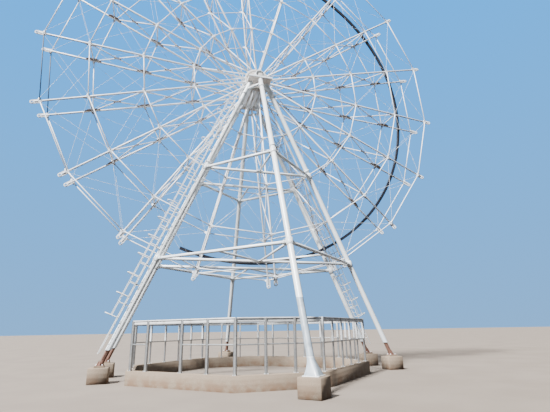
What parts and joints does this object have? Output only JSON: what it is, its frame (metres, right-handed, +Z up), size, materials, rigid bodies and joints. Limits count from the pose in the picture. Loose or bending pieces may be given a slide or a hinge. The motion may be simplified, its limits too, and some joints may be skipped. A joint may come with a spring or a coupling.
{
  "type": "ferris wheel",
  "caption": "Open-frame ferris wheel on braced tripod legs, turning on a hub shaft, with caged ladders and a low station frame at its foot; no cabins are hung yet.",
  "frame": {"origin": "on the ground under the hub, at the middle of the plan of the six plinths", "axes": "+Z up; the wheel turns about Y at the hub height; -Y is the front, seen in the picture; X runs across the wheel"},
  "size_m": [28.1264, 20.6436, 33.0692],
  "materials": {
    "wheel_paint": "glossy off-white paint on steel tube",
    "ring_paint": "glossy off-white paint on steel tube",
    "drive_ring_paint": "dark blue-black primer on rolled channel",
    "hub_paint": "dusty off-white paint on welded plate",
    "leg_paint": "glossy off-white paint on large steel tube",
    "brace_paint": "glossy off-white paint on steel tube",
    "ladder_paint": "off-white paint on flat bar and rod",
    "station_steel": "hot-dip galvanised square tube",
    "concrete": "cast concrete stained by red soil"
  },
  "bodies": {
    "support": {"front_left_leg": "leg_paint", "front_right_leg": "leg_paint", "front_centre_leg": "leg_paint", "back_left_leg": "leg_paint", "back_right_leg": "leg_paint", "back_centre_leg": "leg_paint", "front_left_plinth": "concrete", "front_right_plinth": "concrete", "front_centre_plinth": "concrete", "back_left_plinth": "concrete", "back_right_plinth": "concrete", "back_centre_plinth": "concrete", "front_bearing_head": "leg_paint", "back_bearing_head": "leg_paint", "front_lower_brace": "brace_paint", "front_upper_brace": "brace_paint", "back_lower_brace": "brace_paint", "back_upper_brace": "brace_paint", "front_ladder": "ladder_paint", "back_ladder": "ladder_paint", "station_front": "station_steel", "station_front_right": "station_steel", "station_right": "station_steel", "station_back_right": "station_steel", "station_back": "station_steel", "station_back_left": "station_steel", "station_left": "station_steel", "station_front_left": "station_steel", "station_kerb": "concrete"},
    "wheel": {"spoke_01": "wheel_paint", "spoke_02": "wheel_paint", "spoke_03": "wheel_paint", "spoke_04": "wheel_paint", "spoke_05": "wheel_paint", "spoke_06": "wheel_paint", "spoke_07": "wheel_paint", "spoke_08": "wheel_paint", "spoke_09": "wheel_paint", "spoke_10": "wheel_paint", "spoke_11": "wheel_paint", "spoke_12": "wheel_paint", "spoke_13": "wheel_paint", "spoke_14": "wheel_paint", "spoke_15": "wheel_paint", "spoke_16": "wheel_paint", "spoke_17": "wheel_paint", "spoke_18": "wheel_paint", "outer_ring_front": "ring_paint", "outer_ring_back": "ring_paint", "second_ring_front": "ring_paint", "second_ring_back": "ring_paint", "third_ring_front": "ring_paint", "third_ring_back": "ring_paint", "inner_ring_front": "ring_paint", "inner_ring_back": "ring_paint", "drive_ring": "drive_ring_paint", "hub_drum": "hub_paint"}
  },
  "joints": [
    {"name": "wheel_turn", "type": "hinge", "parent": "support", "child": "wheel", "pos_m": [0, 0, 19], "axis": [0, 1, 0], "continuous": true}
  ]
}
